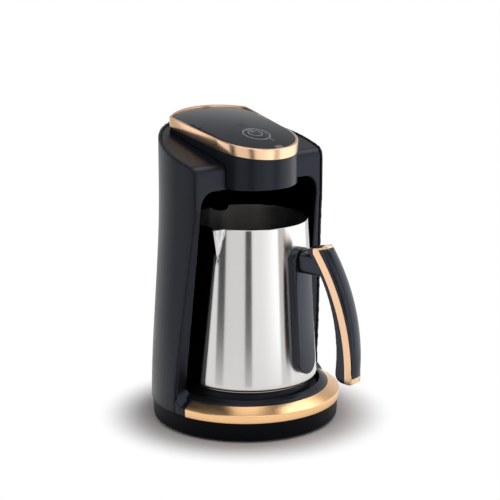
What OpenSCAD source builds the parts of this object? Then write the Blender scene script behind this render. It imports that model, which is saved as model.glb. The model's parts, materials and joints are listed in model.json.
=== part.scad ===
// Electric turkish coffee maker: a round base with a hot plate, a tower that wraps round the
// jug, a head over the jug with the power button, and a lift-out steel jug with a lever handle.
// Millimetres. Origin: middle of the base on the table. Front is -Y, up is +Z.

/* [Base] */
// Outer radius of the gold trim and of the foot of the tower
base_r = 75; // [73:0.5:77]
// Height of the lower pan above the table
base_h = 16.4; // [15:0.2:19]
// How far the rubber foot ring stands out under the pan
foot_h = 1; // [0.6:0.1:2]
// Distance from the base's edge in to the middle of the rubber foot ring
foot_inset = 14.2; // [14:0.1:14.6]
// Width of the rubber foot ring
foot_w = 6; // [4:0.5:6]
// Thickness of the pan's floor and wall
pan_wall = 2.4; // [2:0.1:2.8]
// Height of the upright band of the gold trim
trim_band_h = 6.4; // [5:0.2:7]
// Thickness of the gold trim
trim_wall = 2; // [1.4:0.1:2.4]
// Angle from straight ahead to each end of the gold trim
trim_half_angle = 78; // [76:0.5:80]
// Width of the gold trim's slope, from the base's edge in to the black deck
trim_slope_w = 9.4; // [9:0.1:10]
// Distance from the deck's edge in to the crest of its rim
crest_inset = 5.9; // [5.4:0.1:6.4]
// Height of the foot of the deck's slope above the pan
deck_edge_h = 10.9; // [10:0.1:11.5]
// Height of the deck's crest above the pan
deck_crest_h = 14.1; // [13.6:0.1:15]
// Depth of the deck's recess below the crest
deck_recess = 4; // [3:0.1:4.4]
// Wall of the deck moulding
deck_wall = 2.2; // [1.8:0.1:2.4]
// Width of the slots in the pan's floor
vent_w = 2; // [1.5:0.1:3]
// Length of the slots in the pan's floor
vent_len = 22; // [10:1:24]

/* [Heater] */
// How far the jug's foot stands out over the hot plate
plate_inset = 6.1; // [5.6:0.1:8]
// Height of the hot plate's face above the pan
plate_h = 17.1; // [16:0.1:18]
// Thickness of the hot plate
plate_t = 3.2; // [2.8:0.1:4]
// Thickness of the silicone seal under the hot plate
seal_t = 1.4; // [1:0.1:1.6]
// Distance from the plate's edge in to the middle line of the heating element
element_inset = 16; // [14:0.5:17]
// Diameter of the heating element's tube
element_d = 6; // [5:0.1:6.2]
// Diameter of the thermal cut-out
cutout_d = 16; // [12:0.5:16]
// Diameter of the tip of the plate's temperature probe
probe_d = 4; // [3:0.1:5]
// Thickness of the sheet of the heat shield
shield_t = 0.8; // [0.6:0.1:1]

/* [Tower] */
// How much the tower narrows, in radius, from the base to near its top
tower_taper = 7.8; // [7:0.1:8]
// Height where the tower starts to narrow
flare_low_z = 10; // [5:1:14]
// Distance from the arch down to where the tower stops narrowing
flare_drop = 5.2; // [0:0.2:15]
// Wall of the outer shell
shell_wall = 2.2; // [1.8:0.1:2.2]
// Distance from the middle to the upright front face, towards the front
front_y = 19.2; // [18:0.2:21]
// Distance from the arch down to where the front face starts to lean back
lean_drop = 14.2; // [10:0.2:20]
// Distance from the middle to the front face where the lean ends
lean_foot_y = 4.1; // [3.5:0.1:5]
// Height where the lean ends
lean_foot_z = 35; // [34:1:40]
// Height of the shoulders above the arch, at the middle of the tower
shoulder_h = 24.8; // [23:0.2:27]
// Slope of the shoulders, rising to the back
shoulder_slope = 15.1; // [14:0.1:16]
// Radius that rounds the shoulders into the front face
shoulder_round = 9; // [7:0.5:10]
// How far the shell's lip stands above the shoulders
lip_h = 0.8; // [0.6:0.1:1.2]
// Wall of the front frame
frame_wall = 2.4; // [2:0.1:2.8]
// Gap between the jug's rim and the arch over it
arch_gap = 28.4; // [27:0.2:30]
// Width of each pillar of the arch at its foot
pillar_w = 12.6; // [12:0.1:13]
// How much each pillar widens to its top
pillar_lean = 4.2; // [4:0.1:4.8]
// Radius of the arch's corners
arch_round = 12; // [9:0.5:14]
// Distance from the base's edge in to the lining behind the jug
lining_inset = 13; // [12.6:0.1:13.4]
// Wall of the lining
lining_wall = 1.8; // [1.6:0.1:2]
// Room behind the lining's flat back for the power board, near the tower's top
back_room = 15.2; // [15:0.1:15.4]
// How far the pillars' feet reach forward of the pillars
foot_reach = 6.4; // [5:0.2:7]
// Height of the pillars' feet above the gold trim
foot_rise = 5.2; // [4:0.2:6]
// Tilt of the pillars' feet, rising to the jug
foot_tilt = 19; // [16:1:24]

/* [Head] */
// Radius of the head's nose
nose_r = 35; // [34.6:0.1:35.6]
// Distance from the middle to the centre of the nose, towards the front
nose_y = 8.2; // [7.6:0.1:9]
// Half width of the head at its rear corners
rear_half_w = 38.2; // [37.8:0.1:38.8]
// Radius that rounds the rear corners
rear_corner_r = 3.2; // [3.1:0.1:4]
// Distance from the tower's outside in to the head's rear arc
head_back_inset = 7.8; // [7.4:0.1:8.2]
// Height of the head's housing, from the arch to the gold band at the middle
head_h = 31.6; // [31:0.2:33]
// Slope of the head's top, rising to the back
head_slope = 10.76; // [10:0.02:11.4]
// Height of the gold band
band_h = 7.9; // [7.5:0.1:9]
// How far the gold band stands out from the head's wall
band_proud = 0.6; // [0.4:0.1:1]
// Thickness of the gold band
band_t = 2; // [1.6:0.1:2.2]
// Wall of the head's housing
head_wall = 3; // [2.8:0.1:3]
// Radius of the top panel's crown
crown_r = 450; // [400:10:600]
// Height of the middle of the crown above the gold band
crown_h = 2; // [1.6:0.1:2.4]
// Thickness of the top panel at its edge
panel_t = 2.4; // [2:0.1:2.8]

/* [Button] */
// Diameter of the power button
button_d = 19.8; // [18:0.2:21]
// Distance from the middle to the button, towards the front
button_y = 12; // [11:0.5:13]
// How far the button travels
button_travel = 1; // [0.6:0.1:1.2]
// Running gap round the button
button_gap = 0.3; // [0.3:0.05:0.5]
// Width of the clear ring round the button
light_ring_w = 0.8; // [0.6:0.1:1.2]
// Height of the switch on the control board
switch_h = 4.3; // [4:0.1:4.6]

/* [Sensor] */
// Diameter of the foam sensor's pod
pod_d = 13; // [12:0.5:13]
// How far the pod hangs below the arch
pod_drop = 19.5; // [17:0.5:21]
// Distance from the middle to the pod, to the left
pod_x = 25; // [23:0.5:25]
// Distance from the middle to the pod, towards the front
pod_y = -0.5; // [-1.5:0.5:0.5]
// Diameter of the sensor's lens
lens_d = 5.2; // [4:0.1:6]

/* [Jug] */
// Distance from the middle to the jug's axis, towards the front
jug_y = 4.2; // [4:0.1:5]
// Gap between the jug's foot and the lining round it
jug_gap = 7.9; // [7.4:0.1:8.6]
// How much the jug narrows, in radius, from its foot to its rim
jug_taper = 7.7; // [7:0.1:8.6]
// Height of the jug
jug_h = 128.3; // [124:0.1:130]
// Wall of the jug
jug_wall = 1; // [0.8:0.1:1.2]
// Radius of the jug's lower edge
jug_foot_round = 3; // [2:0.5:3]
// Distance from the jug's foot in to the edge of the sandwich base under it
jug_base_inset = 3.7; // [3.6:0.1:6]
// Height of the jug's lower edge above the hot plate
jug_lift = 1.5; // [1:0.1:2]
// How far the spout stands out from the rim
spout_reach = 7; // [5:0.5:8]
// Height of the spout
spout_h = 24; // [18:1:30]
// Angle from straight ahead to the spout, to the left
spout_turn = 70; // [65:1:80]

/* [Handle] */
// Angle from straight ahead to the handle, to the right
handle_turn = 12; // [6:1:16]
// Width of the bracket on the jug
bracket_w = 21; // [20:0.5:22]
// Thickness of the bracket
bracket_t = 6; // [5.5:0.1:6.5]
// Height of the bracket's lower end above the hot plate
bracket_low = 11.8; // [11:0.2:13]
// Length of the bracket
bracket_len = 100; // [99:0.5:101]
// Height of the arm
arm_h = 17; // [15:0.5:18]
// Width of the arm
arm_w = 14; // [13:0.5:14]
// Distance from the bracket's top down to the arm
arm_drop = 2.5; // [2:0.1:4]
// Width of the grip at its top
grip_w = 14.6; // [14.4:0.1:15.2]
// Width of the grip at its lower end
grip_low_w = 11.8; // [11.2:0.1:12.6]
// Room for fingers: distance from the jug's foot out to the grip's inner face
finger_room = 35; // [34.4:0.1:35.6]
// Radius of the bend of the grip's inner face
inner_bend_r = 122; // [120:1:124]
// Height of the centre of the inner face's bend above the hot plate
inner_bend_z = 35; // [34:0.5:36]
// Distance from the grip's inner face to the middle of the gold inlay, where both are farthest out
grip_depth = 10.8; // [10.4:0.1:11.2]
// Radius of the bend in the middle of the gold inlay
grip_bend_r = 159; // [157:1:161]
// Height of the centre of the inlay's bend above the hot plate
grip_bend_z = 18.9; // [18.4:0.1:19.6]
// Thickness of the gold inlay
inlay_t = 6.4; // [6:0.1:6.6]
// Distance from the middle of the gold inlay to the grip's back, where both are farthest out
back_depth = 5.5; // [5.3:0.1:6]
// Radius of the bend of the grip's back
back_bend_r = 146; // [145:1:148]
// Height of the centre of the back's bend above the hot plate
back_bend_z = 31.3; // [30.8:0.1:32]
// Height of the grip's lower end above the hot plate
grip_low = 10.8; // [10.4:0.1:11.4]
// Height of the grip's top above the hot plate, at the inlay's inner edge
grip_high = 114.6; // [114:0.1:115.2]
// Slope of the grip's top
grip_top_slope = 12.4; // [11:0.2:14]
// Thickness of the inlay's lips over the ends of the outer shell
inlay_lip = 1.9; // [1.5:0.1:2.3]

/* [Inlet] */
// Diameter of the hole for the mains cord
gland_hole_d = 7.2; // [6.5:0.1:7.8]
// Height of the cord gland above the table
gland_z = 9.6; // [9.4:0.1:9.8]

/* [Hidden] */

$fn = 96;
far = 400;              // longer than anything here: for cutting prisms
fit = 0.2;              // gap between mouldings that slide together
seat = 0.05;            // gap between faces that are screwed or pressed together
through = 1;            // how far a cutting shape runs past a face

shell_black = "#23262c";
frame_black = "#2b2e34";
cavity_black = "#0b0c0e";
rubber_black = "#161616";
gold = "#d9a066";
steel = "#c9cbcd";
board_green = "#2f6b46";

screw_r = 1.5;          // shank of every screw, stud and pin
screw_head_r = 2.8;
screw_head_t = 1.4;
boss_r = 3.2;
board_t = 1.6;

deck_r = base_r - trim_slope_w;                  // where the deck meets the gold trim
deck_crest_r = deck_r - crest_inset;
foot_r = base_r - foot_inset;
tower_high_r = base_r - tower_taper;
lining_r = base_r - lining_inset;
lining_back_y = tower_high_r - back_room;
arch_low_x = base_r - pillar_w;
arch_high_x = arch_low_x - pillar_lean;
rear_r = tower_high_r - head_back_inset;
jug_low_r = lining_r - jug_gap;
jug_high_r = jug_low_r - jug_taper;
jug_base_r = jug_low_r - jug_base_inset;
plate_r = jug_low_r - plate_inset;
element_r = plate_r - element_inset;

plate_z = base_h + plate_h;                      // face of the hot plate
plate_low_z = plate_z - plate_t;
deck_edge_z = base_h + deck_edge_h;
deck_crest_z = base_h + deck_crest_h;
recess_z = deck_crest_z - deck_recess;
deck_under_z = recess_z - deck_wall;
trim_top_z = base_h + trim_band_h;
floor_z = foot_h + pan_wall;                     // inside face of the pan's floor
body_z = plate_z + jug_lift;                     // underside of the jug's steel
jug_rim_z = plate_z + jug_h;
arch_z = jug_rim_z + arch_gap;
roof_z = arch_z + lining_wall;                   // top of the bay's roof
head_floor_z = roof_z + seat;                    // the head stands on the roof
shoulder_z = arch_z + shoulder_h;
band_z = arch_z + head_h;
flare_high_z = arch_z - flare_drop;
lean_top_z = arch_z - lean_drop;
frame_r_inset = shell_wall + seat;
frame_back = lip_h + frame_wall;

function smooth(t) = t * t * (3 - 2 * t);
function limit(t) = max(0, min(1, t));
function unit(v) = v / norm(v);
function arc(centre, r, from, to, steps) =
    [for (i = [0:steps]) let (a = from + (to - from) * i / steps) centre + r * [cos(a), sin(a)]];
function circle_x(centre, r, z) = centre.x + sqrt(r * r - pow(z - centre.y, 2));
function tower_r(z) = base_r
    + (tower_high_r - base_r) * smooth(limit((z - flare_low_z) / (flare_high_z - flare_low_z)));
function shoulder_at(y) = shoulder_z + y * tan(shoulder_slope);
function head_plane(y) = band_z + y * tan(head_slope);
function jug_r(z) =
    jug_low_r + (jug_high_r - jug_low_r) * (z - body_z) / (jug_rim_z - body_z);

// ---- Shapes that several pieces share ----

module disc(r, low, high) {
    translate([0, 0, low]) cylinder(h = high - low, r = r);
}

module ring(r_out, r_in, low, high) {
    difference() {
        disc(r_out, low, high);
        disc(r_in, low - through, high + through);
    }
}

// Copies turned about the middle, each at radius r
module around(turns, r) {
    for (a = turns) rotate([0, 0, a]) translate([r, 0, 0]) children();
}

// Long prism along X: x of its children is y here, and their y is z
module side_prism() {
    rotate([90, 0, 90]) linear_extrude(far, center = true) children();
}

// Everything in front of a distance y from the middle
module before(y) {
    translate([-far / 2, y - far, 0]) cube([far, far, far]);
}

module round_rect(w, h, r) {
    square([w, h - 2 * r], center = true);
    square([w - 2 * r, h], center = true);
    for (x = [-1, 1], y = [-1, 1]) translate([x * (w / 2 - r), y * (h / 2 - r)]) circle(r);
}

module stadium(w, len) {
    square([w, len - w], center = true);
    for (y = [-1, 1]) translate([0, y * (len - w) / 2]) circle(d = w);
}

// Place on a smooth curve through all the points p, at t from 0 to 1
function spline(p, t) = let (n = len(p) - 1, i = min(floor(t * n), n - 1), u = t * n - i,
        a = p[max(i - 1, 0)], b = p[i], c = p[i + 1], d = p[min(i + 2, n)])
    0.5 * (2 * b + (c - a) * u + (2 * a - 5 * b + 4 * c - d) * u * u
        + (3 * b - a - 3 * c + d) * u * u * u);

lead_sides = 8;

// Round lead along a route that lies across X: a ring of points per place, capped at its ends
module lead(route, d, rings) {
    place = [for (i = [0:rings]) spline(route, i / rings)];
    skin = [for (i = [0:rings]) let (
            along = unit(place[min(i + 1, rings)] - place[max(i - 1, 0)]),
            up = unit(cross([1, 0, 0], along)), across = unit(cross(along, up)))
        for (k = [0:lead_sides - 1]) let (a = 360 * k / lead_sides)
            place[i] + d / 2 * (cos(a) * across + sin(a) * up)];
    walls = [for (i = [0:rings - 1]) for (k = [0:lead_sides - 1]) let (
            a = i * lead_sides + k, b = i * lead_sides + (k + 1) % lead_sides)
        [a, b, b + lead_sides, a + lead_sides]];
    caps = [[for (k = [lead_sides - 1:-1:0]) k],
        [for (k = [0:lead_sides - 1]) rings * lead_sides + k]];
    polyhedron(skin, concat(walls, caps), convexity = 4);
}

// ---- Base ----

pan_round = 3;                                   // radius under the pan's outer edge
pan_set_back = 1;                                // the pan stands back under the trim
pan_draft = 0.6;                                 // the pan's wall leans in to its foot
pan_wall_foot = 2.4;                             // height of the chamfer inside the pan
pan_high_r = base_r - pan_set_back;
pan_low_r = pan_high_r - pan_round - pan_draft;
foot_sunk = 1.2;                                 // how deep the foot ring lies in the pan
deck_screw_gap = 0.8;                            // from the foot ring to the screws' heads
tower_screw_inset = 7.8;                         // from the base's edge
deck_screw_r = foot_r - foot_w / 2 - deck_screw_gap - screw_head_r;
tower_screw_r = base_r - tower_screw_inset;
deck_screw_turns = [45, 135, 225, 315];
tower_screw_turns = [15, 65, 115, 165];
tower_boss_h = 15;
tower_boss_z = base_h + tower_boss_h;
screw_spare = 2;                                 // a screw stops short of its boss's end
vent_y = 12;

module foot_ring() {
    color(rubber_black) ring(foot_r + foot_w / 2, foot_r - foot_w / 2, 0, foot_h + foot_sunk);
}

module pan_screw_bores() {
    disc(screw_r + seat, 0, base_h + through);
    disc(screw_head_r + fit, 0, foot_h + fit + screw_head_t);
}

// Lower pan: floor, wall, bosses for the screws and slots that let warm air out
module base_pan() {
    in_r = pan_high_r - pan_wall;
    color(shell_black) difference() {
        union() {
            difference() {
                rotate_extrude() polygon(concat([[0, foot_h]],
                    arc([pan_low_r, foot_h + pan_round], pan_round, -90, -12, 6),
                    [[pan_high_r, base_h], [0, base_h]]));
                rotate_extrude() polygon([[0, floor_z], [pan_low_r - pan_wall, floor_z],
                    [in_r, floor_z + pan_wall_foot], [in_r, base_h + through],
                    [0, base_h + through]]);
            }
            around(deck_screw_turns, deck_screw_r) disc(boss_r, floor_z - fit, base_h);
            around(tower_screw_turns, tower_screw_r) disc(boss_r, floor_z - fit, base_h);
        }
        ring(foot_r + foot_w / 2, foot_r - foot_w / 2, 0, foot_h + foot_sunk);
        around(deck_screw_turns, deck_screw_r) pan_screw_bores();
        around(tower_screw_turns, tower_screw_r) pan_screw_bores();
        gland_axis() cylinder(h = 2 * gland_len, d = gland_d);
        gland_axis() translate([0, 0, -gland_len])
            cylinder(h = gland_len + gland_flange_t + seat, d = gland_flange_d + 2 * fit);
        for (i = [-4:4]) translate([(3 * i - 0.5) * vent_w, vent_y, 0])
            cube([vent_w, vent_len, floor_z + through]);
    }
}

module pan_screw(top) {
    disc(screw_head_r, foot_h + fit, foot_h + fit + screw_head_t);
    disc(screw_r, foot_h + fit + screw_head_t, top);
}

module deck_screws() {
    color(steel) around(deck_screw_turns, deck_screw_r) pan_screw(deck_under_z);
}

module tower_screws() {
    color(steel) around(tower_screw_turns, tower_screw_r) pan_screw(tower_boss_z - screw_spare);
}

// Section of the trim round the base: upright band and slope up to the deck
module trim_section(inner_r) {
    edge = 0.5;
    polygon([[base_r - trim_wall, base_h], [base_r - edge, base_h], [base_r, base_h + edge],
        [base_r, trim_top_z - edge], [base_r - edge, trim_top_z], [inner_r, deck_edge_z],
        [inner_r, deck_edge_z - trim_wall], [base_r - trim_wall, trim_top_z - trim_wall]]);
}

module gold_base_trim() {
    color(gold) rotate([0, 0, -90 - trim_half_angle])
        rotate_extrude(angle = 2 * trim_half_angle) trim_section(deck_r + seat);
}

crest_half_w = 0.8;
crest_foot = 2.6;                                // from the crest's middle to the recess
plate_gap = 1.2;                                 // ring gap that the seal closes
deck_opening_r = plate_r + plate_gap;

// Deck: skirt, slope up to the crest, dished recess, opening for the plate, screw bosses, and
// notches for the bosses of the tower
module deck() {
    color(shell_black) difference() {
        union() {
            rotate_extrude() polygon([[deck_r - deck_wall, base_h], [deck_r, base_h],
                [deck_r, deck_edge_z], [deck_crest_r + crest_half_w, deck_crest_z],
                [deck_crest_r - crest_half_w, deck_crest_z], [deck_crest_r - crest_foot, recess_z],
                [deck_opening_r, recess_z], [deck_opening_r, deck_under_z],
                [deck_r - deck_wall, deck_under_z]]);
            around(deck_screw_turns, deck_screw_r)
                ring(boss_r, screw_r + seat, base_h, deck_under_z + deck_wall / 2);
        }
        around(tower_screw_turns, tower_screw_r) disc(boss_r + fit, 0, far);
    }
}

// The deck's upper faces, pushed out by gap: what stands on the deck is cut with this
module deck_space(gap) {
    rotate_extrude() polygon([[0, 0], [deck_r + gap, 0], [deck_r + gap, deck_edge_z + gap],
        [deck_crest_r + crest_half_w + gap, deck_crest_z + gap],
        [deck_crest_r - crest_half_w - gap, deck_crest_z + gap],
        [deck_crest_r - crest_foot - gap, recess_z + gap], [0, recess_z + gap]]);
}

// ---- Heater ----

seal_lap = 1.4;

// Silicone ring that carries the hot plate on the deck and closes the gap round it
module plate_seal() {
    gap_r = deck_opening_r - seat;
    foot_t = 0.8;
    below_face = 1;
    color(rubber_black) rotate_extrude() polygon([
        [plate_r - seal_lap, plate_low_z - seal_t], [gap_r, plate_low_z - seal_t],
        [gap_r, recess_z], [deck_opening_r + seal_lap, recess_z],
        [deck_opening_r + seal_lap, recess_z + foot_t], [plate_r + seat, plate_z - below_face],
        [plate_r + seat, plate_low_z], [plate_r - seal_lap, plate_low_z]]);
}

plate_screw_inset = 7;                           // from the plate's edge
plate_screw_r = plate_r - plate_screw_inset;
plate_screw_turns = [30, 150, 270];
plate_screw_depth = 2;
probe_r = probe_d / 2;
probe_gap = 0.3;

module hot_plate() {
    edge = 0.8;
    color("#35373a") difference() {
        rotate_extrude() polygon([[probe_r + probe_gap, plate_low_z], [plate_r, plate_low_z],
            [plate_r, plate_z - edge], [plate_r - edge, plate_z], [probe_r + probe_gap, plate_z]]);
        around(plate_screw_turns, plate_screw_r)
            disc(screw_r + seat, plate_low_z - through, plate_low_z + plate_screw_depth);
    }
}

element_gap = 40;                                // opening of the element's ring, in degrees
element_end_a = 90 - element_gap / 2;
element_pin_r = 1.2;
element_pin_in = 1.4;                            // from the tube's end to its pin
element_pin_len = 4;                             // below the tube
element_pin_z = plate_low_z - element_d - element_pin_len;
element_pin = [element_r * cos(element_end_a) + element_pin_in * sin(element_end_a),
    element_r * sin(element_end_a) - element_pin_in * cos(element_end_a)];

module at_element_pins() {
    for (side = [-1, 1]) translate([side * element_pin.x, element_pin.y, 0]) children();
}

// Sheathed element under the plate, flat where it meets the plate, with its two pins
module heating_element() {
    flat = 0.5;
    color("#8d8f92") {
        rotate([0, 0, 90 + element_gap / 2]) rotate_extrude(angle = 360 - element_gap)
            intersection() {
                translate([element_r, plate_low_z + flat - element_d / 2]) circle(d = element_d);
                translate([0, plate_low_z - element_d]) square([plate_r, element_d]);
            }
        at_element_pins() disc(element_pin_r, element_pin_z, plate_low_z - element_d / 2);
    }
}

shield_z = plate_low_z - element_d - 2 * shield_t;
shield_rim = 3.6;                                // from the plate's screws to the tray's wall
shield_r = plate_screw_r + shield_rim;
shield_hole_r = element_r - element_d;

// Pressed tray under the element: its rim clamps the deck when it is drawn up to the plate
module heat_shield() {
    rim_r = deck_opening_r + 2.8;
    pin_gap = 2.3;
    color("#9a9c9e") difference() {
        union() {
            ring(shield_r, shield_hole_r, shield_z, shield_z + shield_t);
            ring(shield_r, shield_r - shield_t, shield_z, deck_under_z);
            ring(rim_r, shield_r - shield_t, deck_under_z - shield_t, deck_under_z);
        }
        around(deck_screw_turns, deck_screw_r) disc(boss_r + fit, 0, plate_z);
        around(plate_screw_turns, plate_screw_r) disc(screw_r + seat, 0, plate_z);
        at_element_pins() disc(element_pin_r + pin_gap, 0, plate_z);
    }
}

module plate_screws() {
    color(steel) around(plate_screw_turns, plate_screw_r) {
        disc(screw_head_r, shield_z - screw_head_t, shield_z);
        disc(screw_r, shield_z, plate_low_z + plate_screw_depth - fit);
    }
}

cutout_h = 6;
holder_r = 5;
cutout_x = (holder_r + element_r - element_d / 2) / 2;  // midway to the element

// Thermal cut-out pressed against the underside of the plate
module thermal_cutout() {
    color("#d8d4c8") translate([cutout_x, 0, 0])
        disc(cutout_d / 2, plate_low_z - cutout_h, plate_low_z);
}

// Temperature probe in the middle of the hot plate, in its holder
module plate_probe() {
    color(steel) {
        disc(probe_r, plate_low_z - through, plate_z - fit);
        disc(holder_r, plate_low_z - cutout_h, plate_low_z);
    }
}

gland_wall = 1.6;
gland_d = gland_hole_d + 2 * gland_wall;
gland_flange_d = gland_d + 2;
gland_flange_t = 2;
gland_y = pan_high_r - pan_wall - fit - gland_flange_t;
gland_len = pan_high_r - gland_y + 2 * fit;

module gland_axis() {
    translate([0, gland_y, gland_z]) rotate([-90, 0, 0]) children();
}

// Bush for the mains cord in the back of the pan
module cord_gland() {
    color(rubber_black) gland_axis() difference() {
        union() {
            cylinder(h = gland_flange_t, d = gland_flange_d);
            cylinder(h = gland_len, d = gland_d - 2 * seat);
        }
        translate([0, 0, -through]) cylinder(h = gland_len + 2 * through, d = gland_hole_d);
    }
}

// ---- Tower ----

tower_steps = 18;
tower_top_z = shoulder_at(base_r) + shoulder_round;  // above the highest point of the shell

// Revolved body of the tower, drawn in from its outer face by inset, from low upwards
module tower_body(inset, low) {
    zs = [for (i = [1:tower_steps]) base_h + (flare_high_z - base_h) * i / tower_steps];
    rotate_extrude()
        polygon(concat([[0, low], [tower_r(base_h) - inset, low]],
            [for (z = zs) [tower_r(z) - inset, z]],
            [[tower_high_r - inset, tower_top_z], [0, tower_top_z]]));
}

// Side view of the tower: leaning front face, rounded shoulder, sloping top
module tower_side(inset, low) {
    round_r = shoulder_round - inset;
    centre_y = -front_y + shoulder_round;
    centre_z = shoulder_at(centre_y) - shoulder_round / cos(shoulder_slope);
    back = base_r + shoulder_round;
    polygon(concat([[back, low], [-lean_foot_y + inset, low], [-lean_foot_y + inset, lean_foot_z],
            [-front_y + inset, lean_top_z]],
        arc([centre_y, centre_z], round_r, 180, 90 + shoulder_slope, 10),
        [[back, shoulder_at(back) - inset / cos(shoulder_slope)]]));
}

boss_web = 2;

// Outer shell with the bosses that stand on the pan
module tower_shell() {
    overlap = 0.5;
    web_len = base_r - tower_screw_r - boss_r;
    color(shell_black) {
        difference() {
            intersection() {
                tower_body(0, base_h);
                side_prism() tower_side(0, base_h);
            }
            tower_body(shell_wall, base_h - through);
        }
        around(tower_screw_turns, tower_screw_r) {
            ring(boss_r, screw_r + seat, base_h, tower_boss_z);
            translate([boss_r - overlap, -boss_web / 2, base_h])
                cube([web_len - overlap, boss_web, tower_boss_z - base_h]);
        }
    }
}

// Opening of the arch, seen from the front: sides that spread downwards, round upper corners
module arch_shape() {
    corner = [arch_high_x - arch_round, arch_z - arch_round];
    polygon(concat([[arch_low_x, 0], [arch_low_x, lean_foot_z]],
        arc(corner, arch_round, 0, 90, 8), arc([-corner.x, corner.y], arch_round, 90, 180, 8),
        [[-arch_low_x, lean_foot_z], [-arch_low_x, 0]]));
}

foot_in_r = arch_low_x - 1;                      // the feet reach just past the arch's sides
foot_back_y = -lean_foot_y + frame_back - 0.5;   // just inside the frame's back face

// Foot of a pillar: a facet that runs forward and down from the pillar onto the rim
module pillar_foot(side) {
    edge_x = base_r - 0.6;
    depth = trim_band_h / 2;
    difference() {
        translate([side * edge_x, 0, trim_top_z]) rotate([0, side * foot_tilt, 0])
            rotate([90, 0, 90]) linear_extrude(3 * (edge_x - foot_in_r), center = true)
                polygon([[foot_back_y, -depth], [-lean_foot_y - foot_reach, -depth],
                    [-lean_foot_y - foot_reach, 0], [-lean_foot_y, foot_rise],
                    [foot_back_y, foot_rise]]);
        disc(foot_in_r, 0, far);
    }
}

// The rim between each pillar and the end of the gold trim
module pillar_rims() {
    end_gap = 0.2;
    last_angle = 89;
    for (side = [0, 1]) mirror([side, 0, 0])
        rotate([0, 0, -90 + trim_half_angle + end_gap])
            rotate_extrude(angle = last_angle - trim_half_angle) trim_section(deck_r + fit);
}

// Front face, arch and shoulders in one moulding, with the feet of its pillars
module front_frame() {
    color(frame_black) difference() {
        union() {
            difference() {
                intersection() {
                    tower_body(frame_r_inset, base_h);
                    side_prism() tower_side(lip_h, base_h);
                }
                side_prism() tower_side(frame_back, -through);
                rotate([90, 0, 0]) linear_extrude(far, center = true) arch_shape();
                head_prism(fit, base_h);
            }
            intersection() {
                union() {
                    pillar_rims();
                    for (side = [-1, 1]) pillar_foot(side);
                }
                tower_body(0, base_h);
                union() {
                    before(-lean_foot_y - fit);
                    intersection() {
                        tower_body(frame_r_inset, base_h);
                        before(foot_back_y);
                    }
                }
            }
        }
        deck_space(fit);
    }
}

head_screw_places = [[-24, 12], [24, 12], [-26, 38], [26, 38]];

module at_head_screws() {
    for (p = head_screw_places) translate([p.x, p.y, 0]) children();
}

// Plan of the jug's bay, grown by a wall: half round, with a flat back
module bay(wall, low, high) {
    intersection() {
        disc(lining_r + wall, low, high);
        before(lining_back_y + wall);
        side_prism() tower_side(frame_back + fit, 0);
    }
}

// Wall of the jug's bay, standing on the deck
module cavity_lining() {
    color(cavity_black) difference() {
        bay(lining_wall, recess_z + fit, arch_z);
        intersection() {
            disc(lining_r, 0, far);
            before(lining_back_y);
        }
        deck_space(fit);
    }
}

// Roof of the bay: it lies on the wall, and carries the head and the foam sensor
module bay_roof() {
    color(cavity_black) difference() {
        bay(lining_wall, arch_z, roof_z);
        neck_hole();
        at_head_screws() disc(screw_r + seat, arch_z - through, roof_z + through);
    }
}

// ---- Electronics in the back of the tower ----

pb_w = 50;
pb_h = 104;
pb_rise = 12.5;                                  // from the hot plate's face up to the board
pb_low = plate_z + pb_rise;
pb_high = pb_low + pb_h;
pb_gap = 4;                                      // between the lining and the board
pb_y = lining_back_y + lining_wall + pb_gap;
pb_face = pb_y + board_t;
pb_can_up = 42;
pb_plug_up = 87;

// Relay, transformer and choke: left edge, height above the board's foot, width, height, depth
pb_blocks = [[-20, 14, 16, 19, 6.5], [4, 16, 15, 15, 6], [-8, 50, 16, 20, 7]];

module power_board() {
    color(board_green) translate([-pb_w / 2, pb_y, pb_low]) cube([pb_w, board_t, pb_high - pb_low]);
}

// The board's blocks, two capacitors and the socket of the control lead
module power_board_parts() {
    can_d = 6;
    can_x = 16;
    socket = [12, 5, 7];
    color("#2b2b2b") for (b = pb_blocks) translate([b[0], pb_face, pb_low + b[1]])
        cube([b[2], b[4], b[3]]);
    color("#b7b9bb") for (x = [-can_x, can_x]) translate([x, pb_face, pb_low + pb_can_up])
        rotate([-90, 0, 0]) cylinder(h = can_d, d = can_d);
    color("#e8e6e0") translate([-socket.x / 2, pb_face, pb_low + pb_plug_up]) cube(socket);
}

// Pillars and screws that hold the board to the lining
module board_screws() {
    inset = 5;
    pillar_r = 2.6;
    color(steel) for (x = [-1, 1], z = [pb_low + inset, pb_high - inset])
        translate([x * (pb_w / 2 - inset), lining_back_y + lining_wall, z]) rotate([-90, 0, 0]) {
            cylinder(h = pb_gap, r = pillar_r);
            translate([0, 0, pb_gap + board_t]) cylinder(h = screw_head_t, r = screw_head_r);
        }
}

heater_lead_d = 2.2;
channel_y = deck_r + 1.8;                        // the leads pass outside the deck's skirt
lead_bend = 0.9;
lead_floor_z = floor_z + 5.1;

// Two leads from the power board, under the deck's skirt, to the pins of the element
module heater_leads() {
    x = element_pin.x;
    color("#b04030") for (side = [-1, 1])
        lead([[side * x, pb_face + heater_lead_d / 2, pb_low + 8],
            [side * x, channel_y - 4.9, pb_low - 2],
            [side * x, channel_y - lead_bend, deck_crest_z + 3.5],
            [side * x, channel_y, base_h + 7.6], [side * x, channel_y - lead_bend, base_h - 2.4],
            [side * x, channel_y - 7.4, lead_floor_z + 1],
            [side * x, (channel_y + element_pin.y) / 2 - 2.5, lead_floor_z],
            [side * x, element_pin.y + 4.4, lead_floor_z + 1],
            [side * x, element_pin.y, lead_floor_z + 4.5],
            [side * x, element_pin.y, element_pin_z - fit]],
            heater_lead_d, 36);
}

lead_hole_up = 11;                               // from the bay's roof to the lead's hole
lead_hole_z = roof_z + lead_hole_up;
control_lead_d = 3;
lead_hole_r = 3.8;
control_lead_y = pb_face + 2.7;
board_end_y = 24;                                // where the lead meets the control board

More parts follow.
